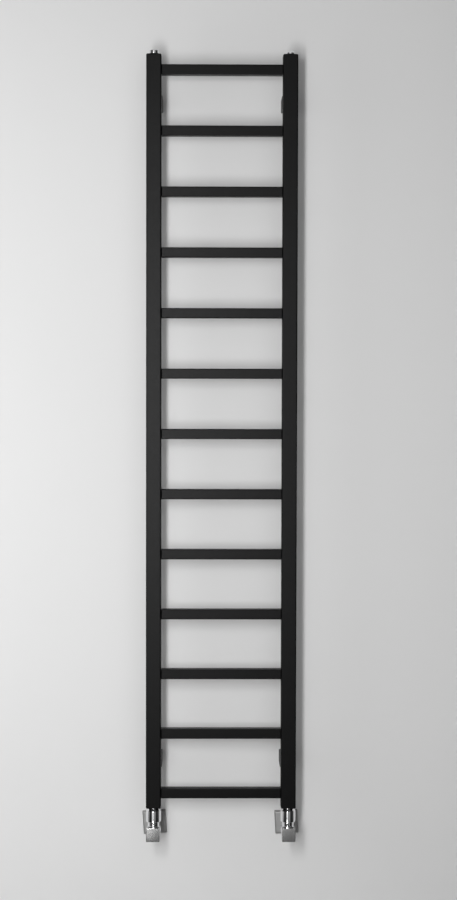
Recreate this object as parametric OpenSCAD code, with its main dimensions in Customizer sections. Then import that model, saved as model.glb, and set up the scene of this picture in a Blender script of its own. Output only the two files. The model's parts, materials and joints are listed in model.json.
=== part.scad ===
// Ladder towel warmer for hot water: two square upright collectors joined by thirteen square
// rungs, on four wall brackets, with an angle valve and a square rosette under each collector.
// Millimetres, +Z up. The wall is the plane y = 0 and the rack stands in front of it, towards -Y.
// The origin is the centre of the four wall-screw holes.

/* [Rack] */
// Height of the two upright collectors
rack_h = 1500; // [1440:10:1560]
// Width across both collectors
rack_w = 300; // [280:5:400]
// Side of the square collector tube
collector_s = 30; // [28:1:34]
// Wall of the collector tube
collector_wall = 2; // [1.5:0.5:2.5]
// Outside corner radius of the collector tube
collector_r = 2.5; // [2.2:0.1:4]
// Distance from the wall to the collectors' back faces
stand_off = 55; // [52:1:70]

/* [Rungs] */
// Number of rungs
rung_count = 13; // [3:2:13]
// Distance from one rung to the next
rung_pitch = 120; // [80:5:120]
// Side of the square rung tube
rung_s = 20; // [16:1:24]
// Wall of the rung tube
rung_wall = 1.5; // [1:0.5:2]
// Outside corner radius of the rung tube
rung_r = 1.8; // [1.6:0.1:3]
// Radius of the water port behind each end of a rung
port_r = 7; // [4:0.5:8]

/* [Wall brackets] */
// Height of the brackets above and below the origin
bracket_z = 660; // [600:5:670]
// Width of a bracket sleeve
bracket_w = 32; // [30:1:34]
// Height of a bracket sleeve
bracket_h = 26; // [25:1:32]
// Wall of a bracket sleeve
bracket_wall = 3; // [2.5:0.5:3.5]
// How far the screwed-on base reaches out from the wall
base_depth = 28; // [24:1:32]
// Radius of the hole for the wall screw
wall_screw_r = 2.75; // [2.25:0.25:3.25]

/* [Top fittings] */
// Radius of the blind plug's round head
plug_r = 10.3; // [9.5:0.1:12]
// Radius of the air vent's domed head
vent_r = 9.7; // [9.5:0.1:12]
// Height of both top fittings above the collectors
top_fitting_h = 7.5; // [6:0.25:9]

/* [Valves] */
// Drop from the collector's lower end to the valve's wall-pipe axis
valve_drop = 46; // [45:0.5:50]
// Radius of the round union nut
union_r = 15; // [14.2:0.1:17]
// Radius of the round middle of the valve body
ball_r = 14.5; // [12:0.5:15]
// Side of the square knob and of the square lockshield cap
knob_s = 27; // [24:0.5:32]
// Depth of the knob, front to back
knob_depth = 16; // [14:0.5:20]
// Outer radius of the wall pipe
pipe_r = 7.5; // [7.5:0.5:7.5]
// How far each wall pipe reaches in behind the wall face
pipe_behind = 30; // [20:5:60]

/* [Rosettes] */
// Side of a square wall rosette
rosette_s = 48; // [44:1:60]
// Depth of a rosette
rosette_depth = 8; // [7:0.5:12]
// Turn of the left rosette about its pipe, in degrees, clockwise as seen from the room
rosette_turn_left = -4; // [-10:0.5:10]
// Turn of the right rosette about its pipe, in degrees, clockwise as seen from the room
rosette_turn_right = -3; // [-10:0.5:10]

/* [Hidden] */
$fn = 48;
// Cuts run this far past a face
eps = 0.5;
// Radial play of a running fit, and of a pushed-on one
run = 0.05;
push = 0.03;

// Main places
collector_x = (rack_w - collector_s) / 2;
axis_y = -(stand_off + collector_s / 2);
half_h = rack_h / 2;
port_z = -half_h - valve_drop;
rung_len = rack_w - 2 * collector_s;
sides = [-1, 1];

// End caps and their threaded bosses
cap_t = 3;
cap_chamfer = 2.2;
boss_r = 12.5;
boss_l = 15;
half_inch_r = 10.3;
three_eighth_r = 8.3;
thread_play = 0.1;
seal_t = 1.5;

// Bracket fixings
sleeve_gap = 1;
sleeve_plate = 4;
base_play = 0.2;
rail_screw_r = 2.95;
insert_r = 4.5;
grub_r = 2.45;
grub_y = -14;
grub_l = 5;

// Union between collector and valve
nut_top_z = -half_h - 1;
nut_shoulder_z = -half_h - 7;
nut_low_z = -half_h - 28.5;
tail_bore_r = 7;
tail_flange_t = 2.8;
union_thread_r = 12.6;

// Valve body, measured forwards from the collectors' mid plane
body_r = 11.5;
branch_r = 10.5;
chamber_r = 7.4;
seat_r = 5;
seat_back = -12;
seat_front = -8;
front_face = 16;
rear_mouth = -28;
compression_r = 9.8;

// Depth mark on the wall pipe, measured behind the wall face
mark_behind = 2;

// Headwork, spindle and disc, measured the same way
hex_flange_t = 5;
headwork_front = 33;
headwork_back = 9.5;
barrel_r = 7;
spindle_r = 3;
spindle_tail_r = 2.5;
collar_r = 4.2;
collar_back = 12;
collar_front = 14;
disc_r = 6.2;
disc_l = 13;
disc_back = -8;
knob_back = 26;
knob_front = knob_back + knob_depth;
knob_recess_r = 10.5;

// Ends of the four bracket places, and the names made from them
corners = [["top_left", -1, 1], ["top_right", 1, 1], ["bottom_left", -1, -1], ["bottom_right", 1, -1]];
rungs = [for (i = [1 : rung_count]) i];
function rung_name(i) = str("rung_", i < 10 ? "0" : "", i);
function rung_z(i) = ((rung_count + 1) / 2 - i) * rung_pitch;

// ---- Shared shapes ----

// Square outline with true arcs at its corners
module round_rect(w, h, r) {
    square([w - 2 * r, h], center = true);
    square([w, h - 2 * r], center = true);
    for (sx = sides)
        for (sy = sides)
            translate([sx * (w / 2 - r), sy * (h / 2 - r)])
                circle(r = r);
}

// Ring-shaped outline of a square tube
module tube_outline(s, r, wall) {
    difference() {
        round_rect(s, s, r);
        round_rect(s - 2 * wall, s - 2 * wall, max(r - wall, 0.3));
    }
}

// Turns a shape drawn upwards so that up becomes forwards, away from the wall
module forwards() {
    rotate([90, 0, 0])
        children();
}

// Round bar from a to b along the forward direction
module bar(r, a, b) {
    forwards()
        translate([0, 0, a])
            cylinder(r = r, h = b - a);
}

// Hexagonal bar from a to b along the forward direction, across_flats wide
module hex_bar(across_flats, a, b) {
    forwards()
        translate([0, 0, a])
            cylinder(r = across_flats / 2 / cos(30), h = b - a, $fn = 6);
}

// Round bar from z = a to z = b
module post(r, a, b) {
    translate([0, 0, a])
        cylinder(r = r, h = b - a);
}

// Flat ring from z = a to z = b
module ring(r_in, r_out, a, b) {
    difference() {
        post(r_out, a, b);
        post(r_in, a - eps, b + eps);
    }
}

// ---- Welded rack ----

module collector(side) {
    tube_h = rack_h - 2 * cap_t;
    translate([side * collector_x, axis_y, 0])
        difference() {
            translate([0, 0, -tube_h / 2])
                linear_extrude(tube_h)
                    tube_outline(collector_s, collector_r, collector_wall);
            for (i = rungs)
                translate([-side * (collector_s / 2 - collector_wall - eps), 0, rung_z(i)])
                    rotate([0, -side * 90, 0])
                        cylinder(r = port_r, h = collector_wall + 2 * eps);
            for (sz = sides)
                translate([0, 0, sz * bracket_z])
                    bar(insert_r, -collector_s / 2 - eps, -collector_s / 2 + collector_wall + eps);
        }
}

module rung(i) {
    translate([-rung_len / 2, axis_y, rung_z(i)])
        rotate([90, 0, 90])
            linear_extrude(rung_len)
                tube_outline(rung_s, rung_r, rung_wall);
}

// Welded end plate with a threaded boss inside the tube, its outer face at z = 0
module end_cap_up(thread_r) {
    difference() {
        union() {
            translate([0, 0, -cap_t])
                linear_extrude(cap_t)
                    round_rect(collector_s, collector_s, collector_r);
            post(boss_r, -boss_l, -cap_t + eps);
        }
        post(thread_r + thread_play, -boss_l - eps, eps);
        for (a = [0 : 90 : 270])
            rotate([0, 0, a])
                translate([collector_s / 2, 0, 0])
                    rotate([0, 45, 0])
                        cube([cap_chamfer * sqrt(2), 2 * collector_s, cap_chamfer * sqrt(2)], center = true);
    }
}

module end_cap(side, up) {
    translate([side * collector_x, axis_y, up * half_h])
        rotate([up > 0 ? 0 : 180, 0, 0])
            end_cap_up(up > 0 ? three_eighth_r : half_inch_r);
}

// ---- Top fittings ----

// Flat round plug with a hexagon socket
module blind_plug() {
    edge = 0.5;
    socket_r = 4.6;
    translate([-collector_x, axis_y, half_h])
        difference() {
            union() {
                rotate_extrude()
                    polygon([[0, seal_t], [plug_r, seal_t], [plug_r, top_fitting_h - edge],
                             [plug_r - edge, top_fitting_h], [0, top_fitting_h]]);
                post(three_eighth_r, -12, seal_t + eps);
            }
            translate([0, 0, top_fitting_h - 4])
                cylinder(r = socket_r, h = 4 + eps, $fn = 6);
        }
}

// Domed vent with a stepped bore for its screw and a small outlet at the side
module air_vent_body() {
    rim_h = 2.4;
    dome_steps = 8;
    dome_h = top_fitting_h - rim_h - seal_t;
    flat_r = 4.2;
    dome = [for (k = [0 : dome_steps])
        let (a = 90 * k / dome_steps)
        [flat_r + (vent_r - flat_r) * cos(a), seal_t + rim_h + dome_h * sin(a)]];
    translate([collector_x, axis_y, half_h])
        difference() {
            union() {
                rotate_extrude()
                    polygon(concat([[0, seal_t], [vent_r, seal_t]], dome, [[0, top_fitting_h]]));
                post(three_eighth_r, -12, seal_t + eps);
            }
            post(1.4, -12 - eps, top_fitting_h + eps);
            post(2.5 + run, -5, top_fitting_h + eps);
            post(3.4, top_fitting_h - 2, top_fitting_h + eps);
            translate([0, 0, 3])
                rotate([90, 0, 0])
                    cylinder(r = 0.8, h = vent_r + eps);
        }
}

// Slotted bleed screw in the vent
module air_vent_screw() {
    head_h = 1.8;
    translate([collector_x, axis_y, half_h])
        difference() {
            union() {
                post(2.5, -4.6, top_fitting_h - head_h);
                post(3.2, top_fitting_h - head_h, top_fitting_h + 0.4);
            }
            translate([0, 0, top_fitting_h])
                cube([8, 0.9, 1.6], center = true);
        }
}

// Flat fibre washers under the two top fittings
module top_seals() {
    for (side = sides)
        translate([side * collector_x, axis_y, half_h])
            ring(three_eighth_r + thread_play, plug_r - 0.8, 0, seal_t);
}

// ---- Wall brackets ----

// Block screwed to the wall, with a countersunk hole and a groove for the grub screw
module bracket_base(side, up) {
    w = bracket_w - 2 * bracket_wall - 2 * base_play;
    h = bracket_h - 2 * bracket_wall - 2 * base_play;
    groove_t = 2;
    sink_r = 5.2;
    translate([side * collector_x, 0, up * bracket_z])
        difference() {
            forwards()
                linear_extrude(base_depth)
                    round_rect(w, h, 1);
            bar(wall_screw_r, -eps, base_depth + eps);
            forwards()
                translate([0, 0, base_depth - (sink_r - wall_screw_r)])
                    cylinder(r1 = wall_screw_r, r2 = sink_r, h = sink_r - wall_screw_r);
            translate([0, grub_y, -h / 2])
                cube([6, 16, 2 * groove_t], center = true);
        }
}

// Square sleeve over the base, closed by the plate that carries the collector
module bracket_sleeve(side, up) {
    inner_w = bracket_w - 2 * bracket_wall;
    inner_h = bracket_h - 2 * bracket_wall;
    depth = stand_off - sleeve_gap;
    translate([side * collector_x, 0, up * bracket_z])
        difference() {
            forwards()
                translate([0, 0, sleeve_gap])
                    linear_extrude(depth)
                        round_rect(bracket_w, bracket_h, 2);
            forwards()
                translate([0, 0, sleeve_gap - eps])
                    linear_extrude(depth - sleeve_plate + eps)
                        round_rect(inner_w, inner_h, 0.8);
            bar(rail_screw_r + run, stand_off - sleeve_plate - eps, stand_off + eps);
            translate([0, grub_y, 0])
                post(grub_r + run, -bracket_h, 0);
        }
}

// One grub screw with a hexagon socket, its tip upwards at the base's groove
module grub_screw() {
    difference() {
        post(grub_r, -grub_l, 0);
        translate([0, 0, -grub_l - eps])
            cylinder(r = 1.4, h = 2.5 + eps, $fn = 6);
    }
}

module bracket_grub_screws() {
    tip = -bracket_h / 2 + bracket_wall + base_play + 2;
    for (c = corners)
        translate([c[1] * collector_x, grub_y, c[2] * bracket_z + tip])
            grub_screw();
}

// Socket-head screws from inside the sleeves into the collectors
module bracket_rail_screws() {
    head_back = stand_off - sleeve_plate - 5;
    for (c = corners)
        translate([c[1] * collector_x, 0, c[2] * bracket_z])
            difference() {
                union() {
                    bar(5, head_back, head_back + 5);
                    bar(rail_screw_r, head_back + 4, stand_off + 10);
                }
                hex_bar(5, head_back - eps, head_back + 3);
            }
}

// Rivet nuts set in the collectors' back walls
module rail_insert_nuts() {
    for (c = corners)
        translate([c[1] * collector_x, 0, c[2] * bracket_z])
            difference() {
                union() {
                    bar(insert_r, stand_off, stand_off + 12);
                    bar(6.2, stand_off + collector_wall, stand_off + collector_wall + 3);
                }
                bar(rail_screw_r + run, stand_off - eps, stand_off + 13);
            }
}

// ---- Unions under the collectors ----

// Tail screwed into the collector, with the flange that the nut pulls up
module union_tail(side) {
    translate([side * collector_x, axis_y, 0])
        difference() {
            union() {
                post(half_inch_r, nut_shoulder_z - eps, -half_h + 12);
                post(12.3, nut_shoulder_z - tail_flange_t, nut_shoulder_z);
            }
            post(tail_bore_r, -half_h - 20, -half_h + 13);
        }
}

// Round union nut with a conical top
module union_nut(side) {
    cone_h = 5;
    top_r = union_r - 3;
    rim = 0.6;
    translate([side * collector_x, axis_y, 0])
        difference() {
            rotate_extrude()
                polygon([[0, nut_low_z], [union_r - rim, nut_low_z], [union_r, nut_low_z + rim],
                         [union_r, nut_top_z - cone_h], [top_r, nut_top_z], [0, nut_top_z]]);
            post(half_inch_r + 2 * thread_play, nut_shoulder_z - eps, nut_top_z + eps);
            post(union_thread_r + thread_play, nut_low_z - eps, nut_shoulder_z);
        }
}

// Seal rings between the tails and the valve bodies
module union_seals() {
    top = nut_shoulder_z - tail_flange_t;
    for (side = sides)
        translate([side * collector_x, axis_y, 0])
            ring(tail_bore_r + 1, 11.5, top - 2, top);
}

// ---- Angle valves ----

// Places a shape drawn round the valve's wall-pipe axis, with zero at the collectors' mid plane
module at_valve(side) {
    translate([side * collector_x, axis_y, port_z])
        children();
}

module valve_body(side) {
    thread_top = nut_shoulder_z - tail_flange_t - 2 - port_z;
    barrel_top = nut_low_z - port_z;
    at_valve(side)
        difference() {
            union() {
                post(union_thread_r, barrel_top, thread_top);
                post(body_r, 0, barrel_top + eps);
                sphere(r = ball_r);
                bar(branch_r, 0, front_face);
                bar(branch_r, rear_mouth + 10, 0);
                bar(compression_r, rear_mouth, 0);
            }
            post(tail_bore_r, 0, thread_top + eps);
            bar(chamber_r, seat_front, front_face + eps);
            bar(seat_r, seat_back - eps, seat_front + eps);
            bar(pipe_r + thread_play, rear_mouth - eps, seat_back);
        }
}

// Hexagon-flanged bonnet that carries the spindle
module headwork(side) {
    at_valve(side)
        difference() {
            union() {
                bar(chamber_r - run, headwork_back, front_face + eps);
                hex_bar(19, front_face, front_face + hex_flange_t);
                bar(barrel_r, front_face + hex_flange_t - eps, headwork_front);
            }
            bar(spindle_r + run, headwork_back - eps, headwork_front + eps);
            bar(collar_r + run, headwork_back - eps, collar_front + 0.2);
        }
}

// Spindle whose rear end drives the disc; front says how far it reaches forwards
module spindle(side, front) {
    at_valve(side)
        difference() {
            union() {
                bar(spindle_tail_r, -2, collar_back + eps);
                bar(collar_r, collar_back, collar_front);
                bar(spindle_r, collar_front - eps, front);
            }
            forwards()
                translate([-4, -0.5, front - 1.5])
                    cube([8, 1, 1.5 + eps]);
        }
}

// Valve disc on the spindle's tail, shut against the seat
module valve_disc(side) {
    at_valve(side)
        difference() {
            bar(disc_r, disc_back, disc_back + disc_l);
            bar(spindle_tail_r + run, disc_back + 2, disc_back + disc_l + eps);
        }
}

// Square shell shared by the knob and the lockshield cap, open at the back
module square_shell(recess) {
    difference() {
        forwards()
            translate([0, 0, knob_back])
                linear_extrude(knob_depth)
                    round_rect(knob_s, knob_s, 2);
        bar(knob_recess_r, knob_back - eps, knob_back + recess);
    }
}

module left_knob() {
    hub_r = 5.5;
    hub_back = headwork_front + 0.5;
    at_valve(-1)
        difference() {
            union() {
                square_shell(9);
                bar(hub_r, hub_back, knob_front - 1);
            }
            bar(spindle_r + push, hub_back - eps, knob_front - 2);
            translate([0, -(knob_front - 4), 0])
                post(1.55, -knob_s / 2 - eps, 0);
        }
}

// Grub screw that holds the knob on its spindle, from below
module left_knob_screw() {
    at_valve(-1)
        translate([0, -(knob_front - 4), 0])
            difference() {
                post(1.5, -spindle_r - 7, -spindle_r);
                translate([0, 0, -spindle_r - 7 - eps])
                    cylinder(r = 0.9, h = 2 + eps, $fn = 6);
            }
}

// Push-on cap whose ring grips the headwork's barrel
module right_lockshield_cap() {
    at_valve(1) {
        square_shell(13);
        difference() {
            bar(barrel_r + run + 1.5, knob_back + 1, knob_front - 1);
            bar(barrel_r + run, knob_back, knob_front - 3);
        }
    }
}

// Hexagon nut that clamps the wall pipe
module compression_nut(side) {
    at_valve(side)
        difference() {
            hex_bar(24, rear_mouth - 8, rear_mouth + 8);
            bar(pipe_r + thread_play, rear_mouth - 8 - eps, rear_mouth);
            bar(compression_r + thread_play, rear_mouth - 4, rear_mouth + 8 + eps);
        }
}

// Brass olives squeezed onto the pipes inside the compression nuts
module pipe_olives() {
    for (side = sides)
        at_valve(side)
            difference() {
                bar(pipe_r + 1.7, rear_mouth - 4, rear_mouth);
                bar(pipe_r + push, rear_mouth - 5, rear_mouth + 1);
            }
}

// Wall pipe with a shallow ring scored round it as the depth mark for a push-fit joint
module wall_pipe(side) {
    end = axis_y - pipe_behind;
    mark = end + pipe_behind - mark_behind;
    at_valve(side)
        difference() {
            bar(pipe_r, end, seat_back - 0.5);
            bar(pipe_r - 0.8, end - eps, seat_back);
            difference() {
                bar(pipe_r + 1, mark - 1, mark);
                bar(pipe_r - 0.2, mark - 2, mark + 1);
            }
        }
}

// ---- Rosettes ----

// Square plate shell over the pipe's wall hole, stepped at its front edge
module rosette(side, turn) {
    step = 2;
    shell = 1.5;
    translate([side * collector_x, 0, port_z])
        rotate([0, turn, 0])
            difference() {
                union() {
                    forwards()
                        translate([0, 0, 0.3])
                            linear_extrude(rosette_depth - 1.3)
                                round_rect(rosette_s, rosette_s, 1.5);
                    forwards()
                        translate([0, 0, rosette_depth - 1 - eps])
                            linear_extrude(1 + eps)
                                round_rect(rosette_s - 2 * step, rosette_s - 2 * step, 1.5);
                }
                forwards()
                    linear_extrude(rosette_depth - shell)
                        round_rect(rosette_s - 2 * shell - step, rosette_s - 2 * shell - step, 1);
                bar(pipe_r + 2.5 + run, 0, rosette_depth + eps);
            }
}

// Rubber ring that grips the pipe and carries the rosette
module rosette_seal(side) {
    front = rosette_depth + 1;
    translate([side * collector_x, 0, port_z])
        difference() {
            union() {
                bar(pipe_r + 2.5, 3, front);
                bar(pipe_r + 4, 3, rosette_depth - 2);
            }
            bar(pipe_r + run, 2, front + eps);
        }
}

// ---- Nodes ----

matte_black = [0.035, 0.035, 0.038];
chrome = [0.82, 0.83, 0.85];
brushed = [0.55, 0.55, 0.54];

for (s = [["collector_left", -1], ["collector_right", 1]])
    color(matte_black) collector(s[1]);
for (i = rungs)
    color(matte_black) rung(i);
for (c = corners)
    color(matte_black) end_cap(c[1], c[2]);
for (c = corners)
    color("silver") bracket_base(c[1], c[2]);
for (c = corners)
    color(matte_black) bracket_sleeve(c[1], c[2]);
color(chrome) blind_plug();
color(chrome) air_vent_body();
color(chrome) air_vent_screw();
color("dimgray") top_seals();
color("gray") bracket_grub_screws();
color("silver") bracket_rail_screws();
color("silver") rail_insert_nuts();
for (s = [["left_", -1], ["right_", 1]]) {
    color(chrome) union_tail(s[1]);
    color(chrome) union_nut(s[1]);
    color(chrome) valve_body(s[1]);
    color(chrome) headwork(s[1]);
    color("goldenrod") valve_disc(s[1]);
    color(chrome) compression_nut(s[1]);
    color(chrome) wall_pipe(s[1]);
    color("dimgray") rosette_seal(s[1]);
}
color("silver") spindle(-1, knob_front - 2);  // left_spindle
color("silver") spindle(1, headwork_front + 3);  // right_spindle
color(brushed) left_knob();
color("gray") left_knob_screw();
color(brushed) right_lockshield_cap();
color(brushed) rosette(-1, rosette_turn_left);  // left_rosette
color(brushed) rosette(1, rosette_turn_right);  // right_rosette
color("dimgray") union_seals();
color("goldenrod") pipe_olives();
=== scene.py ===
"""Looks of the ladder towel warmer: matte black powder-coated tubes, polished chrome fittings
and brushed square knobs and rosettes, in front of a pale wall in soft studio light."""

import json
import math

import bmesh
import bpy
from mathutils import Matrix, Vector


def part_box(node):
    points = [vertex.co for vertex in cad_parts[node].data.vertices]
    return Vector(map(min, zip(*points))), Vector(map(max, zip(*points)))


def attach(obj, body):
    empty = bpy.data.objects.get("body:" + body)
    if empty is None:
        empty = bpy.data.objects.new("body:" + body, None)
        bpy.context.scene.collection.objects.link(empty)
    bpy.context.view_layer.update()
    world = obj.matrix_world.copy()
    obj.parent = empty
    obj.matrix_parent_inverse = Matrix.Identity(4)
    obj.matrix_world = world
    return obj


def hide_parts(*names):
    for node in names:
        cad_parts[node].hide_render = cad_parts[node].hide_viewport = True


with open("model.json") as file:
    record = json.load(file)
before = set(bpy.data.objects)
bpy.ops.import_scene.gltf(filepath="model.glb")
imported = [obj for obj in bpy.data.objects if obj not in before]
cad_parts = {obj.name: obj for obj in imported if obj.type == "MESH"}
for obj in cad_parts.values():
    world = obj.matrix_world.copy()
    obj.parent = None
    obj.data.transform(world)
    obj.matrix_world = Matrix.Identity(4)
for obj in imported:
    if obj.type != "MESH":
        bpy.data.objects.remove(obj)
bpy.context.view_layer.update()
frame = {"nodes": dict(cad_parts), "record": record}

MM = 0.001
RACK = "rack"
SIDES = {"left": -1, "right": 1}
ROSETTE_TURN = {"left": math.radians(-4), "right": math.radians(-3)}
RUNG_CORNER = 1.8 * MM
TOP_THREAD_R = 8.3 * MM
TOP_THREAD_LENGTH = 12 * MM
TOP_SEAL = 1.5 * MM
UNION_THREAD_R = 12.7 * MM
UNION_TAIL_R = 10.5 * MM
NUT_THREAD_R = 9.9 * MM
NUT_BORE_R = 7.6 * MM
KNOB_RECESS_R = 10.5 * MM

# Width of the small rounding, in millimetres, on the edges of CAD nodes whose names start like this
EDGE_ROUNDING = {"end_cap": 0.35, "bracket_sleeve": 0.4, "bracket_base": 0.4, "left_headwork": 0.3,
                 "right_headwork": 0.3, "left_spindle": 0.15, "right_spindle": 0.15, "air_vent_screw": 0.15}

# How light the room is from left to right, and its share of that from below to above
ACROSS_THE_ROOM = ((-1.0, 0.50), (-0.93, 0.38), (-0.84, 0.03), (-0.54, 0.03), (-0.40, 0.36), (0.0, 0.40),
                   (0.42, 0.36), (0.62, 0.03), (0.86, 0.03), (1.0, 0.10))
UP_THE_ROOM = ((-1.0, 0.35), (-0.45, 0.40), (-0.05, 1.0), (0.50, 1.0), (0.72, 0.15), (1.0, 0.10))

# ---------------------------------------------------------------- places taken from the frame

record_slots = {row["node"]: row["material_slot"] for row in frame["record"]["subparts"]}


def centre(node):
    low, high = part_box(node)
    return (low + high) / 2


def size(node):
    low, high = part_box(node)
    return high - low


collector_x = centre("collector_right").x
tube_y = centre("collector_right").y
tube_half = size("collector_right").x / 2
tube_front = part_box("collector_right")[0].y
frame_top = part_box("end_cap_top_right")[1].z
frame_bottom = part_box("end_cap_bottom_right")[0].z
port_z = centre("left_knob").z
rung_nodes = sorted(n for n in frame["nodes"] if n.startswith("rung_"))


# ---------------------------------------------------------------- mesh tools


def mesh_object(name, bm, sharp_deg=32.0):
    """Turns a bmesh into an object with smooth faces and sharp edges where it turns sharply."""
    bmesh.ops.remove_doubles(bm, verts=bm.verts, dist=1e-7)
    bmesh.ops.recalc_face_normals(bm, faces=bm.faces)
    for face in bm.faces:
        face.smooth = True
    for edge in bm.edges:
        if len(edge.link_faces) == 2:
            edge.smooth = edge.calc_face_angle(0.0) < math.radians(sharp_deg)
    mesh = bpy.data.meshes.new(name)
    bm.to_mesh(mesh)
    bm.free()
    obj = bpy.data.objects.new(name, mesh)
    bpy.context.scene.collection.objects.link(obj)
    return obj


def add_loft(bm, rings, close="caps"):
    """Skins rings that have the same number of points. close is caps, loop or open."""
    rows = [[bm.verts.new(p) for p in ring] for ring in rings]
    pairs = list(zip(rows, rows[1:]))
    if close == "loop":
        pairs.append((rows[-1], rows[0]))
    count = len(rows[0])
    for low, high in pairs:
        for k in range(count):
            m = (k + 1) % count
            bm.faces.new((low[k], low[m], high[m], high[k]))
    if close == "caps":
        for row in (rows[0], rows[-1]):
            middle = bm.verts.new(sum((v.co for v in row), Vector()) / count)
            for k in range(count):
                bm.faces.new((row[k], row[(k + 1) % count], middle))


def square_outline(half_w, half_h, corner, arc_steps=8, edge_steps=4):
    """Points of a rounded rectangle in a plane, starting at the middle of its right side."""
    corner = max(min(corner, half_w, half_h), 1e-6)
    points = []
    for quarter in range(4):
        sx, sy = ((1, 1), (-1, 1), (-1, -1), (1, -1))[quarter]
        cx, cy = sx * (half_w - corner), sy * (half_h - corner)
        for k in range(arc_steps + 1):
            a = math.radians(90 * quarter + 90 * k / arc_steps)
            points.append((cx + corner * math.cos(a), cy + corner * math.sin(a)))
        nx, ny = ((-1, 1), (-1, -1), (1, -1), (1, 1))[quarter]
        a = math.radians(90 * (quarter + 1))
        end = (nx * (half_w - corner) + corner * math.cos(a), ny * (half_h - corner) + corner * math.sin(a))
        start = points[-1]
        for k in range(1, edge_steps):
            t = k / edge_steps
            points.append((start[0] + (end[0] - start[0]) * t, start[1] + (end[1] - start[1]) * t))
    return points


def circle_outline(radius, like):
    """A circle with one point in the direction of each point of another outline."""
    points = []
    for x, y in like:
        a = math.atan2(y, x)
        points.append((radius * math.cos(a), radius * math.sin(a)))
    return points


def round_outline(radius, count=96):
    angles = [math.tau * k / count for k in range(count)]
    return [(radius * math.cos(a), radius * math.sin(a)) for a in angles]


def hexagon_radius(across_flats, angle):
    """Distance from the centre of a hexagon to its side in one direction."""
    sector = math.radians(60)
    a = (angle + sector / 2) % sector - sector / 2
    return across_flats / 2 / math.cos(a)


def facing_room(outline, depth):
    """Puts a flat outline in a plane parallel to the wall, depth in front of the origin."""
    return [Vector((x, -depth, z)) for x, z in outline]


def facing_up(outline, height):
    return [Vector((x, y, height)) for x, y in outline]


def facing_side(outline, x):
    return [Vector((x, y, z)) for y, z in outline]


def rounded_profile(corners, steps=6):
    """Profile through corners given as (radius, height, fillet), with each fillet as an arc."""
    out = []
    for k, (r, h, fillet) in enumerate(corners):
        here = Vector((r, h))
        if fillet <= 0 or k in (0, len(corners) - 1):
            out.append((r, h))
            continue
        before = (Vector(corners[k - 1][:2]) - here).normalized()
        after = (Vector(corners[k + 1][:2]) - here).normalized()
        half = before.angle(after) / 2
        reach = fillet / math.tan(half)
        middle = here + (before + after).normalized() * fillet / math.sin(half)
        start = here + before * reach - middle
        turn = start.angle_signed(here + after * reach - middle)
        for j in range(steps + 1):
            arm = Matrix.Rotation(-turn * j / steps, 2) @ start
            out.append(tuple(middle + arm))
    return out


def add_lathe(bm, profile, count=96, place=facing_up, close="caps"):
    """Turns a profile of (radius, height) points round its axis."""
    add_loft(bm, [place(round_outline(max(r, 1e-6), count), h) for r, h in profile], close)


def at(obj, x, y, z):
    obj.data.transform(Matrix.Translation((x, y, z)))
    return obj


def stands_for(obj, body, slot, *nodes, finish=None):
    """Gives a piece its material, its body and the CAD nodes that it stands for."""
    obj.data.materials.clear()
    obj.data.materials.append(materials[finish or slot])
    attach(obj, body)
    if nodes:
        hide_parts(*nodes)
    return obj


# ---------------------------------------------------------------- materials


class Shader:
    """A small builder for one Principled material."""

    def __init__(self, name, **constants):
        self.material = bpy.data.materials.new(name)
        self.material.use_nodes = True
        self.tree = self.material.node_tree
        self.bsdf = self.tree.nodes["Principled BSDF"]
        for socket, value in constants.items():
            self.bsdf.inputs[socket.replace("_", " ")].default_value = value
        self.coords = self.tree.nodes.new("ShaderNodeTexCoord").outputs["Object"]

    def stretched(self, x, y, z):
        node = self.tree.nodes.new("ShaderNodeMapping")
        node.inputs["Scale"].default_value = (x, y, z)
        self.tree.links.new(self.coords, node.inputs["Vector"])
        return node.outputs["Vector"]

    def noise(self, scale, detail=3.0, roughness=0.55, vector=None):
        node = self.tree.nodes.new("ShaderNodeTexNoise")
        node.inputs["Scale"].default_value = scale
        node.inputs["Detail"].default_value = detail
        node.inputs["Roughness"].default_value = roughness
        self.tree.links.new(vector or self.coords, node.inputs["Vector"])
        return node.outputs["Fac"]

    def spots(self, scale, vector=None):
        node = self.tree.nodes.new("ShaderNodeTexVoronoi")
        node.inputs["Scale"].default_value = scale
        self.tree.links.new(vector or self.coords, node.inputs["Vector"])
        return node.outputs["Distance"]

    def ranged(self, value, low, high, from_low=0.3, from_high=0.7):
        node = self.tree.nodes.new("ShaderNodeMapRange")
        node.inputs["From Min"].default_value = from_low
        node.inputs["From Max"].default_value = from_high
        node.inputs["To Min"].default_value = low
        node.inputs["To Max"].default_value = high
        self.tree.links.new(value, node.inputs["Value"])
        return node.outputs["Result"]

    def math(self, operation, a, b):
        node = self.tree.nodes.new("ShaderNodeMath")
        node.operation = operation
        for socket, value in zip(node.inputs, (a, b)):
            if isinstance(value, (int, float)):
                socket.default_value = value
            else:
                self.tree.links.new(value, socket)
        return node.outputs["Value"]

    def mixed(self, fac, a, b):
        node = self.tree.nodes.new("ShaderNodeMix")
        node.data_type = "RGBA"
        self.tree.links.new(fac, node.inputs["Factor"])
        for socket, colour in ((node.inputs[6], a), (node.inputs[7], b)):
            if hasattr(colour, "is_linked"):
                self.tree.links.new(colour, socket)
            else:
                socket.default_value = (*colour, 1.0)
        return node.outputs[2]

    def bump(self, height, strength, distance):
        node = self.tree.nodes.new("ShaderNodeBump")
        node.inputs["Strength"].default_value = strength
        node.inputs["Distance"].default_value = distance
        self.tree.links.new(height, node.inputs["Height"])
        self.tree.links.new(node.outputs["Normal"], self.bsdf.inputs["Normal"])

    def set(self, socket, value):
        self.tree.links.new(value, self.bsdf.inputs[socket])


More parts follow.
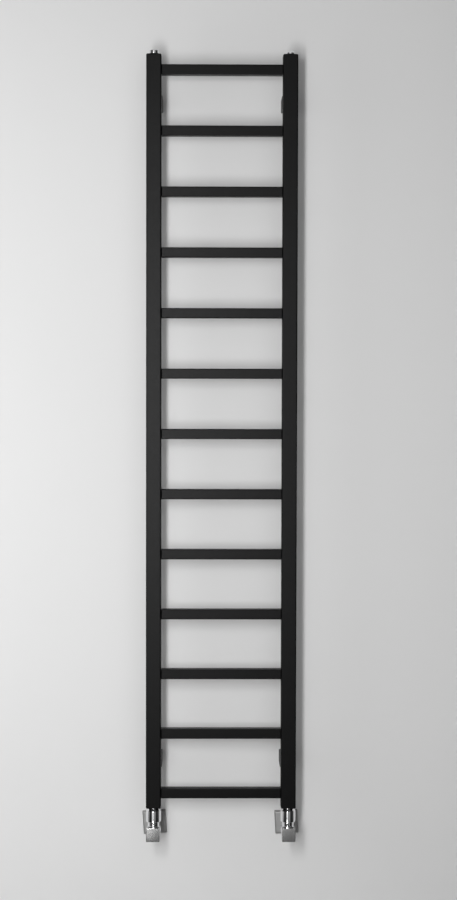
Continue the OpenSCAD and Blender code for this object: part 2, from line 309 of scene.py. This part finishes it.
def powder_coat(name, dark, light):
    """Matte black powder coat: tiny orange peel, faint mottling and a dusting of finer specks."""
    s = Shader(name, Specular_IOR_Level=0.125)
    mottle = s.noise(35, 4)
    s.set("Base Color", s.mixed(s.ranged(mottle, 0, 1), dark, light))
    s.set("Roughness", s.ranged(s.noise(260, 3), 0.38, 0.47))
    peel = s.noise(1300, 2, 0.4)
    specks = s.noise(4200, 1, 0.5)
    s.bump(s.math("ADD", peel, s.math("MULTIPLY", specks, 0.35)), 0.35, 0.00006)
    return s.material


def polished_chrome(name, tint=(0.88, 0.885, 0.895)):
    """Bright plating with faint wipe marks and water spots."""
    s = Shader(name, Metallic=1.0)
    wipes = s.noise(30, 3, 0.6, s.stretched(1, 1, 3))
    s.set("Base Color", s.mixed(s.ranged(wipes, 0, 1), tuple(c * 0.96 for c in tint), tint))
    smears = s.ranged(s.noise(180, 4, 0.6), 0.03, 0.075)
    spots = s.ranged(s.spots(260), 0.05, 0.0, 0.02, 0.10)
    s.set("Roughness", s.math("ADD", smears, spots))
    s.bump(s.noise(90, 2, 0.4), 0.15, 0.0001)
    return s.material


def brushed_metal(name, dark, light, grain=(5200, 5200, 70), rough=(0.20, 0.28)):
    """Brushed or turned metal: long fine scratches one way and an uneven sheen."""
    s = Shader(name, Metallic=1.0, Anisotropic=0.35)
    scratches = s.noise(1, 3, 0.65, s.stretched(*grain))
    broad = s.noise(1, 2, 0.5, s.stretched(grain[0] / 9, grain[1] / 9, grain[2] / 5))
    cloud = s.noise(55, 3)
    tone = s.math("ADD", s.math("MULTIPLY", scratches, 0.6), s.math("MULTIPLY", broad, 0.4))
    s.set("Base Color", s.mixed(s.ranged(tone, 0, 1), dark, light))
    low, high = rough
    uneven = s.math("ADD", s.math("MULTIPLY", scratches, 0.5), s.math("MULTIPLY", cloud, 0.5))
    s.set("Roughness", s.ranged(uneven, low, high))
    s.bump(scratches, 0.25, 0.00002)
    return s.material


def plated_steel(name):
    """Zinc plating with soft crystals and a dull film."""
    s = Shader(name, Metallic=1.0)
    film = s.noise(120, 4)
    s.set("Base Color", s.mixed(s.ranged(film, 0, 1), (0.46, 0.47, 0.50), (0.64, 0.64, 0.62)))
    s.set("Roughness", s.ranged(s.noise(700, 3), 0.30, 0.48))
    s.bump(s.noise(1500, 2), 0.2, 0.00003)
    return s.material


def machined_brass(name):
    """Turned brass with fine tool rings and a little tarnish."""
    s = Shader(name, Metallic=1.0)
    tarnish = s.noise(160, 4)
    s.set("Base Color", s.mixed(s.ranged(tarnish, 0, 1), (0.58, 0.40, 0.16), (0.80, 0.61, 0.30)))
    s.set("Roughness", s.ranged(s.noise(900, 2), 0.22, 0.38))
    s.bump(s.noise(1, 2, 0.5, s.stretched(200, 6000, 200)), 0.25, 0.00003)
    return s.material


def sealing_rubber(name):
    """Dull black rubber with talc in its pores."""
    s = Shader(name, Specular_IOR_Level=0.35)
    talc = s.noise(420, 4)
    s.set("Base Color", s.mixed(s.ranged(talc, 0, 1, 0.45, 0.75), (0.022, 0.022, 0.022), (0.06, 0.06, 0.058)))
    s.set("Roughness", s.ranged(s.noise(900, 2), 0.66, 0.86))
    s.bump(s.noise(1800, 2), 0.3, 0.00004)
    return s.material


materials = {
    "black_powder_coat": powder_coat("powder_coat_black", (0.0010, 0.0010, 0.0011), (0.0022, 0.0022, 0.0023)),
    "black_bracket": powder_coat("powder_coat_bracket", (0.020, 0.020, 0.020), (0.027, 0.027, 0.027)),
    "chrome": polished_chrome("chrome_fittings"),
    "chromed_pipe": polished_chrome("chrome_pipe", (0.84, 0.845, 0.855)),
    "brushed_steel": brushed_metal("brushed_nickel", (0.35, 0.35, 0.35), (0.52, 0.52, 0.515)),
    # Rosettes' copy of the brushed nickel: rougher, and painted lighter to make up for the shade they sit in
    # behind the valves
    "brushed_plate_painted_lighter": brushed_metal("brushed_nickel_plate_painted_lighter", (0.40, 0.40, 0.40), (0.57, 0.57, 0.565),
                                   rough=(0.54, 0.64)),
    "stainless": brushed_metal("turned_stainless", (0.42, 0.42, 0.41), (0.58, 0.58, 0.57),
                               grain=(300, 7000, 300), rough=(0.22, 0.34)),
    "zinc_steel": plated_steel("zinc_plating"),
    "brass": machined_brass("machined_brass"),
    "rubber": sealing_rubber("sealing_rubber"),
}


def dress_cad_nodes():
    """Gives every CAD node its material, and the ones that show a small rounding on their edges."""
    for node, obj in frame["nodes"].items():
        obj.data.materials.clear()
        obj.data.materials.append(materials[record_slots[node]])
        width = next((w for start, w in EDGE_ROUNDING.items() if node.startswith(start)), None)
        if width is None:
            continue
        weld = obj.modifiers.new("joined_points", "WELD")
        weld.merge_threshold = 0.001 * MM
        rounding = obj.modifiers.new("rounded_edges", "BEVEL")
        rounding.width = width * MM
        rounding.segments = 3
        rounding.limit_method = "ANGLE"
        rounding.angle_limit = math.radians(35)
        rounding.harden_normals = True


# ---------------------------------------------------------------- welded rack


def weld_beads(side_name, side):
    """A small concave bead all round each rung where it meets the collector."""
    leg = 1.7 * MM
    root_in = 0.2 * MM
    steps = 5
    bm = bmesh.new()
    for node in rung_nodes:
        half = size(node).z / 2
        z = centre(node).z
        inner_x = side * (collector_x - tube_half)
        rings = []
        for k in range(steps + 1):
            a = math.radians(90 * k / steps)
            grow = leg * (1 - math.cos(a))
            back = leg * (1 - math.sin(a))
            outline = square_outline(half + grow, half + grow, RUNG_CORNER + grow)
            shifted = [(tube_y + y, z + h) for y, h in outline]
            rings.append(facing_side(shifted, inner_x - side * back))
        root = [(tube_y + y, z + h) for y, h in square_outline(half - root_in, half - root_in, RUNG_CORNER)]
        rings.append(facing_side(root, inner_x))
        rings.append(facing_side(root, inner_x - side * leg))
        add_loft(bm, rings, "loop")
    bead = mesh_object(f"weld_beads_{side_name}", bm, 50)
    return stands_for(bead, RACK, "black_powder_coat")


# ---------------------------------------------------------------- top fittings


def blind_plug_looks():
    """Flat round plug head with a chamfered hexagon socket."""
    r = size("blind_plug").x / 2
    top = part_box("blind_plug")[1].z - frame_top
    socket = 8 * MM
    socket_depth = 4 * MM
    chamfer = 0.3 * MM
    lip_share = 1.05
    land_r = 5.4 * MM
    outer = rounded_profile([(TOP_THREAD_R, -TOP_THREAD_LENGTH, 0), (TOP_THREAD_R, TOP_SEAL, 0),
                             (r, TOP_SEAL, 0.3 * MM), (r, top, 0.45 * MM), (land_r, top, 0)])
    count = 96
    rings = [facing_up(round_outline(rad, count), h) for rad, h in outer]
    hexagon = []
    for k in range(count):
        a = math.tau * k / count
        reach = hexagon_radius(socket, a)
        hexagon.append((reach * math.cos(a), reach * math.sin(a)))
    lip = [(x * lip_share, y * lip_share) for x, y in hexagon]
    rings.append(facing_up(lip, top))
    rings.append(facing_up(hexagon, top - chamfer))
    rings.append(facing_up(hexagon, top - socket_depth))
    bm = bmesh.new()
    add_loft(bm, rings)
    plug = at(mesh_object("plug_head", bm), -collector_x, tube_y, frame_top)
    return stands_for(plug, RACK, "chrome", "blind_plug")


def air_vent_looks():
    """Vent head with an upright rim, a conical crown and the stepped bore of its screw."""
    r = size("air_vent_body").x / 2
    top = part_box("air_vent_body")[1].z - frame_top
    rim_top = TOP_SEAL + 2.2 * MM
    shoulder = (r - 1.1 * MM, TOP_SEAL + 3.0 * MM)
    crown_r = 5.0 * MM
    head_r, head_depth = 3.4 * MM, 2 * MM
    screw_r, screw_depth = 2.55 * MM, 5 * MM
    bore_r = 1.4 * MM
    profile = rounded_profile([(bore_r, -TOP_THREAD_LENGTH, 0), (TOP_THREAD_R, -TOP_THREAD_LENGTH, 0),
                               (TOP_THREAD_R, TOP_SEAL, 0), (r, TOP_SEAL, 0.25 * MM), (r, rim_top, 0.8 * MM),
                               (*shoulder, 0.5 * MM), (crown_r, top, 1.2 * MM), (head_r, top, 0.2 * MM),
                               (head_r, top - head_depth, 0), (screw_r, top - head_depth, 0),
                               (screw_r, -screw_depth, 0), (bore_r, -screw_depth, 0)])
    bm = bmesh.new()
    add_lathe(bm, profile, close="loop")
    vent = at(mesh_object("vent_head", bm), collector_x, tube_y, frame_top)
    return stands_for(vent, RACK, "chrome", "air_vent_body")


# ---------------------------------------------------------------- valves


def union_nut_looks(side_name, side):
    """Round nut with a rounded lower rim and a conical top."""
    low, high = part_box(f"{side_name}_union_nut")
    r = (high.x - low.x) / 2
    height = high.z - low.z
    rim = 1.0 * MM
    cone_foot = height - 5 * MM
    shoulder = height - 6 * MM
    profile = rounded_profile([(UNION_THREAD_R, 0, 0), (r - rim, 0, 0.3 * MM), (r, rim, 0.8 * MM),
                               (r, cone_foot, 1.2 * MM), (r - 3 * MM, height, 0.7 * MM),
                               (UNION_TAIL_R, height, 0), (UNION_TAIL_R, shoulder, 0),
                               (UNION_THREAD_R, shoulder, 0)])
    bm = bmesh.new()
    add_lathe(bm, profile, close="loop")
    nut = at(mesh_object(f"{side_name}_union_ring", bm), side * collector_x, tube_y, low.z)
    return stands_for(nut, RACK, "chrome", f"{side_name}_union_nut")


def crowned(outline, depth, curve):
    """Puts an outline in front of the origin on a face that falls back away from its middle."""
    return [Vector((x, curve / 2 * (x * x + z * z) - depth, z)) for x, z in outline]


def knob_looks(side, node, body, recess_depth):
    """Square knob with rounded edges, a slightly crowned face and a round recess behind."""
    low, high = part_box(node)
    half = (high.x - low.x) / 2
    back, front = tube_y - high.y, tube_y - low.y
    edge = 0.8 * MM
    corner = 2.0 * MM
    crown = 0.7 * MM
    back_edge = 0.5 * MM
    steps = 5
    base = square_outline(half, half, corner)
    recess = circle_outline(KNOB_RECESS_R, base)
    rings = [facing_room(recess, back + recess_depth), facing_room(recess, back)]
    for k in range(steps + 1):
        a = math.radians(90 * k / steps)
        inset = back_edge * (1 - math.sin(a))
        rings.append(facing_room(square_outline(half - inset, half - inset, corner - inset),
                                 back + back_edge * (1 - math.cos(a))))
    for k in range(steps + 1):
        a = math.radians(90 * k / steps)
        inset = edge * (1 - math.cos(a))
        outline = square_outline(half - inset, half - inset, corner - inset)
        rings.append(crowned(outline, front - edge * (1 - math.sin(a)), crown / half ** 2))
    face_half = half - edge
    for share in (0.94, 0.85, 0.7, 0.55, 0.4, 0.25, 0.1):
        outline = square_outline(face_half * share, face_half * share, (corner - edge) * share)
        rings.append(crowned(outline, front, crown / half ** 2))
    bm = bmesh.new()
    add_loft(bm, rings)
    knob = at(mesh_object(f"{node}_shell", bm), side * collector_x, tube_y, port_z)
    return stands_for(knob, body, "brushed_steel", node)


def rosette_looks(side_name, side):
    """Square wall plate with a bevelled edge, open behind, turned about its pipe as fitted."""
    node = f"{side_name}_rosette"
    low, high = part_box(node)
    turn = ROSETTE_TURN[side_name]
    inside_box = 0.15 * MM
    half = size(node).x / 2 / (math.cos(turn) + abs(math.sin(turn))) - inside_box
    depth = -low.y
    back = -high.y
    bevel = 2.2 * MM
    back_edge = 0.3 * MM
    corner = 1.6 * MM
    hole = 10.05 * MM
    wall = 1.5 * MM
    base = square_outline(half, half, corner)
    stations = [(half - wall, back), (half - back_edge, back), (half, back + back_edge),
                (half, depth - bevel - 0.25 * MM), (half - 0.12 * MM, depth - bevel),
                (half - bevel + 0.2 * MM, depth - 0.14 * MM), (half - bevel - 0.25 * MM, depth),
                (half * 0.8, depth), (half * 0.62, depth)]
    rings = [facing_room(square_outline(h, h, corner * h / half), d) for h, d in stations]
    for radius, d in ((hole + 0.4 * MM, depth), (hole, depth - 0.3 * MM), (hole, depth - wall)):
        rings.append(facing_room(circle_outline(radius, base), d))
    rings.append(facing_room(square_outline(half - wall, half - wall, corner / 2), depth - wall))
    bm = bmesh.new()
    add_loft(bm, rings, "loop")
    plate = mesh_object(f"{side_name}_wall_plate", bm)
    plate.data.transform(Matrix.Rotation(turn, 4, "Y"))
    at(plate, side * collector_x, 0, port_z)
    # The plate takes the rosettes' copy of brushed nickel, which is painted lighter to offset its shade
    return stands_for(plate, f"{side_name}_rosette_plate", "brushed_steel", node, finish="brushed_plate_painted_lighter")


def valve_body_looks(side_name, side):
    """Cast body whose branches flow into each other, made as one skin and smoothed."""
    low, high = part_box(f"{side_name}_valve_body")
    bm = bmesh.new()
    neck_r, neck_foot = 11.5 * MM, -2 * MM
    ball_r = (high.x - low.x) / 2 - 0.1 * MM
    nut_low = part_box(f"{side_name}_union_nut")[0].z - port_z
    add_lathe(bm, [(0, neck_foot), (neck_r, neck_foot), (neck_r, nut_low), (0, nut_low)])
    bmesh.ops.create_uvsphere(bm, u_segments=64, v_segments=32, radius=ball_r)
    # Radius, back end and front end of each branch along the valve's axis, in millimetres
    front_branch, back_branch, threaded_end = (10.5, 0, 16), (10.5, -18, 0), (9.8, -28, 0)
    for r, back, front in (front_branch, back_branch, threaded_end):
        profile = [(0, back), (r, back), (r, front), (0, front)]
        add_lathe(bm, [(radius * MM, depth * MM) for radius, depth in profile], place=facing_room)
    skin = mesh_object(f"{side_name}_valve_casting", bm)
    bpy.context.view_layer.objects.active = skin
    remesh = skin.modifiers.new("skin", "REMESH")
    remesh.mode = "VOXEL"
    remesh.voxel_size = 0.55 * MM
    smooth = skin.modifiers.new("flow", "SMOOTH")
    smooth.factor = 0.5
    smooth.iterations = 6
    depsgraph = bpy.context.evaluated_depsgraph_get()
    cast = bpy.data.meshes.new_from_object(skin.evaluated_get(depsgraph))
    skin.modifiers.clear()
    skin.data = cast
    for polygon in cast.polygons:
        polygon.use_smooth = True
    at(skin, side * collector_x, tube_y, port_z)
    return stands_for(skin, RACK, "chrome", f"{side_name}_valve_body")


def compression_nut_looks(side_name, side):
    """Hexagon nut with turned chamfers, so that its flats end in curved edges."""
    low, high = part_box(f"{side_name}_compression_nut")
    flats = high.z - low.z
    back, front = tube_y - high.y, tube_y - low.y
    corner_r = flats / 2 / math.cos(math.radians(30))
    chamfer = corner_r - flats / 2 + 0.6 * MM
    slope = 0.55  # length along the axis for each unit of radius
    seat_depth = 4 * MM
    count = 120
    steps = 6
    rings = [facing_room(round_outline(NUT_BORE_R, count), back)]
    stations = [back + chamfer * slope * k / steps for k in range(steps + 1)]
    stations += [front - chamfer * slope * k / steps for k in range(steps, -1, -1)]
    for d in stations:
        nearest = min(d - back, front - d)
        limit = corner_r - chamfer + nearest / slope
        outline = []
        for k in range(count):
            a = math.tau * k / count
            reach = min(hexagon_radius(flats, a - math.radians(30)), limit)
            outline.append((reach * math.cos(a), reach * math.sin(a)))
        rings.append(facing_room(outline, d))
    for r, d in ((NUT_THREAD_R, front), (NUT_THREAD_R, back + seat_depth), (NUT_BORE_R, back + seat_depth)):
        rings.append(facing_room(round_outline(r, count), d))
    bm = bmesh.new()
    add_loft(bm, rings, "loop")
    nut = at(mesh_object(f"{side_name}_pipe_nut", bm, 20), side * collector_x, tube_y, port_z)
    return stands_for(nut, RACK, "chrome", f"{side_name}_compression_nut")


# ---------------------------------------------------------------- stage, light and camera


def stage_material(name, colour, variation, see_through_back=False):
    s = Shader(name, Specular_IOR_Level=0.2)
    cloud = s.noise(1.6, 3)
    dark = tuple(c * (1 - variation) for c in colour)
    s.set("Base Color", s.mixed(s.ranged(cloud, 0, 1), dark, colour))
    s.set("Roughness", s.ranged(s.noise(60, 3), 0.72, 0.86))
    s.bump(s.noise(500, 4), 0.12, 0.0003)
    if see_through_back:
        nodes, links = s.tree.nodes, s.tree.links
        clear = nodes.new("ShaderNodeBsdfTransparent")
        choose = nodes.new("ShaderNodeMixShader")
        links.new(nodes.new("ShaderNodeNewGeometry").outputs["Backfacing"], choose.inputs["Fac"])
        links.new(s.bsdf.outputs["BSDF"], choose.inputs[1])
        links.new(clear.outputs["BSDF"], choose.inputs[2])
        links.new(choose.outputs["Shader"], nodes["Material Output"].inputs["Surface"])
    return s.material


def stage_plane(name, corners, material):
    mesh = bpy.data.meshes.new(name)
    mesh.from_pydata(corners, [], [(0, 1, 2, 3)])
    plane = bpy.data.objects.new(name, mesh)
    bpy.context.scene.collection.objects.link(plane)
    mesh.materials.append(material)
    return plane


def build_stage():
    """A pale wall that can be seen through from behind, and a plain floor."""
    reach, top, floor_z = 4.0, 2.6, frame_bottom - 0.42
    stage_plane("studio_wall", [(-reach, 0, floor_z), (reach, 0, floor_z), (reach, 0, top), (-reach, 0, top)],
                stage_material("wall_paint", (0.76, 0.76, 0.76), 0.02, see_through_back=True))
    half = 6.0
    floor = stage_plane("studio_floor", [(x, y, floor_z) for x, y in ((-half, -half), (half, -half),
                                                                      (half, half), (-half, half))],
                        stage_material("floor_paint", (0.56, 0.56, 0.555), 0.03))
    floor.visible_glossy = False


def area_light(name, place, target, width, height, watts, spread=180):
    data = bpy.data.lights.new(name, "AREA")
    data.shape = "RECTANGLE"
    data.size = width
    data.size_y = height
    data.energy = watts
    data.spread = math.radians(spread)
    lamp = bpy.data.objects.new(name, data)
    bpy.context.scene.collection.objects.link(lamp)
    lamp.location = place
    lamp.rotation_euler = (Vector(target) - Vector(place)).to_track_quat("-Z", "Y").to_euler()
    return lamp


def studio_world():
    """Pale to look at. What lights the rack and mirrors in it is a room with dark corners."""
    world = bpy.data.worlds.new("studio_room")
    bpy.context.scene.world = world
    world.use_nodes = True
    tree = world.node_tree

    def new(kind, **values):
        node = tree.nodes.new(kind)
        for key, value in values.items():
            node.inputs[key.replace("_", " ")].default_value = value
        return node

    def light_along(part, stops):
        """Light that changes along one part of a direction, from -1 to 1."""
        place = new("ShaderNodeMapRange", From_Min=-1.0, From_Max=1.0)
        tree.links.new(part, place.inputs["Value"])
        ramp = new("ShaderNodeValToRGB")
        ramp.color_ramp.interpolation = "EASE"
        elements = ramp.color_ramp.elements
        while len(elements) < len(stops):
            elements.new(0.5)
        for element, (where, light) in zip(elements, stops):
            element.position = (where + 1) / 2
            element.color = (light, light, light, 1)
        tree.links.new(place.outputs["Result"], ramp.inputs["Fac"])
        return ramp.outputs["Color"]

    direction = new("ShaderNodeSeparateXYZ")
    tree.links.new(new("ShaderNodeTexCoord").outputs["Generated"], direction.inputs["Vector"])
    room = new("ShaderNodeMath")
    room.operation = "MULTIPLY"
    tree.links.new(light_along(direction.outputs["X"], ACROSS_THE_ROOM), room.inputs[0])
    tree.links.new(light_along(direction.outputs["Z"], UP_THE_ROOM), room.inputs[1])

    background = tree.nodes["Background"]
    background.inputs["Color"].default_value = (1, 1, 1, 1)
    tree.links.new(room.outputs["Value"], background.inputs["Strength"])
    seen = new("ShaderNodeBackground", Color=(0.80, 0.80, 0.80, 1.0), Strength=1.0)
    choose = new("ShaderNodeMixShader")
    tree.links.new(new("ShaderNodeLightPath").outputs["Is Camera Ray"], choose.inputs["Fac"])
    tree.links.new(background.outputs["Background"], choose.inputs[1])
    tree.links.new(seen.outputs["Background"], choose.inputs[2])
    tree.links.new(choose.outputs["Shader"], tree.nodes["World Output"].inputs["Surface"])


def build_light():
    """A tall narrow softbox a little left of the view with dim ends, a wash from the left and a broad fill.

    The wash and the fill light the wall and don't mirror in the metal; the ends only mirror in it.
    """
    area_light("tall_softbox", (-0.44, -2.56, 0.09), (-0.9, 0, 0.09), 0.26, 1.4, 30.5, spread=150)
    ends = area_light("softbox_ends", (-0.44, -2.58, 0.05), (-0.44, 0, 0.05), 0.2, 3.3, 5.8)
    ends.visible_diffuse = False
    wash = area_light("wall_wash", (-1.4, -0.6, 0.10), (-0.4, 0, 0.10), 0.8, 1.6, 5.4)
    wash.visible_glossy = False
    fill = area_light("room_fill", (0.25, -2.6, 0.05), (0.05, 0, 0.05), 2.6, 2.6, 10.0)
    fill.visible_glossy = False
    studio_world()


def build_camera():
    """Camera about 3.3 m in front of the rack, a little above its middle, looking slightly down."""
    data = bpy.data.cameras.new("camera")
    data.sensor_width = 36
    data.lens = 66.53
    distance = 3.3
    camera = bpy.data.objects.new("camera", data)
    bpy.context.scene.collection.objects.link(camera)
    yaw, pitch, roll = 0.0094, -0.0346, 0.0022
    forward = Vector((math.sin(yaw) * math.cos(pitch), math.cos(yaw) * math.cos(pitch), math.sin(pitch)))
    right = Vector((math.cos(yaw), -math.sin(yaw), 0))
    up = right.cross(forward)
    level = Matrix((right, up, -forward)).transposed()
    camera.matrix_world = (Matrix.Translation((-0.0172, tube_front - distance, 0.0829))
                           @ (level @ Matrix.Rotation(roll, 3, "Z")).to_4x4())
    bpy.context.scene.camera = camera


# ---------------------------------------------------------------- putting it together

dress_cad_nodes()
blind_plug_looks()
air_vent_looks()
for side_name, side in SIDES.items():
    weld_beads(side_name, side)
    union_nut_looks(side_name, side)
    valve_body_looks(side_name, side)
    compression_nut_looks(side_name, side)
    rosette_looks(side_name, side)
knob_looks(-1, "left_knob", "left_handwheel", 9 * MM)
knob_looks(1, "right_lockshield_cap", "right_cap", 13 * MM)
build_stage()
build_light()
build_camera()
bpy.context.scene.view_settings.view_transform = "Standard"
